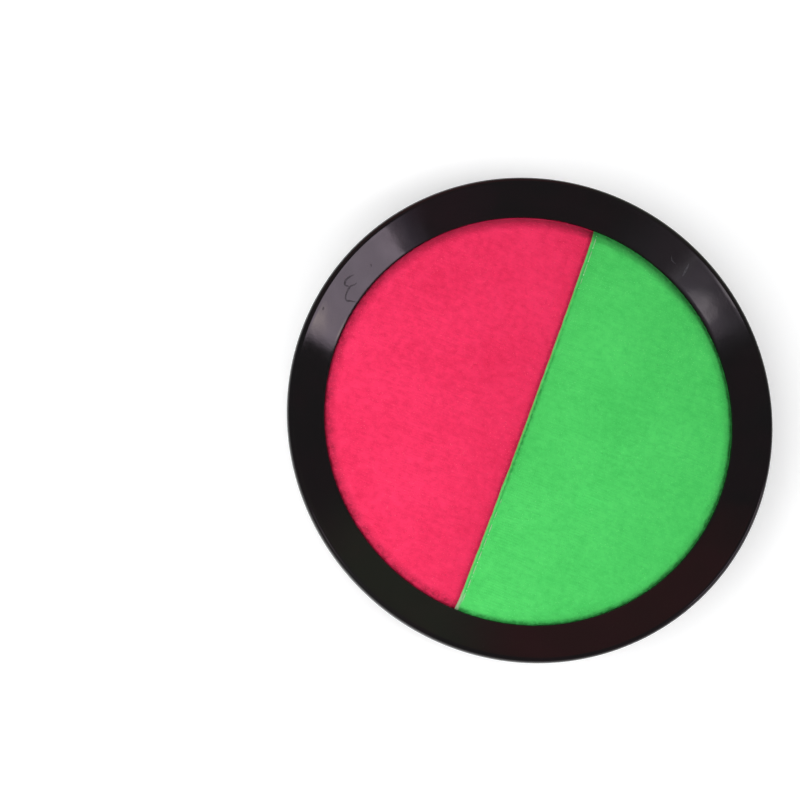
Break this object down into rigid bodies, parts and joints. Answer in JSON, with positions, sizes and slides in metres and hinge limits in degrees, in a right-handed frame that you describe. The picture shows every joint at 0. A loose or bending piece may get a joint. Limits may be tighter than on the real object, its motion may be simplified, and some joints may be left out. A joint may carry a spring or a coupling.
{
  "type": "hook and loop catch paddle",
  "caption": "Round catch paddle: a padded face of pink and green hook fabric in a dished black rim, with a strap across the back for the hand.",
  "frame": {"origin": "on the surface below the middle of the paddle, which lies on its back", "axes": "+Z out of the face, Y along the seam, -X the pink side, +X the green side; the strap runs along X"},
  "size_m": [0.19, 0.19, 0.0275],
  "materials": {
    "rim_black": "glossy black moulded plastic",
    "back_black": "satin black moulded plastic",
    "pink_fabric": "bright pink woven hook fabric",
    "green_fabric": "bright green woven hook fabric",
    "foam": "soft grey foam",
    "board": "plain dark sheet",
    "cloth": "black woven cloth",
    "webbing": "black woven webbing",
    "hook_tape": "black hook tape",
    "loop_tape": "black loop tape"
  },
  "bodies": {
    "root": {"front_rim": "rim_black", "back_rim": "back_black", "pink_face": "pink_fabric", "green_face": "green_fabric", "foam_pad": "foam", "backing_board": "board", "back_cloth": "cloth", "strap_left": "webbing", "strap_right": "webbing", "hook_patch": "hook_tape", "loop_patch": "loop_tape"}
  },
  "joints": []
}
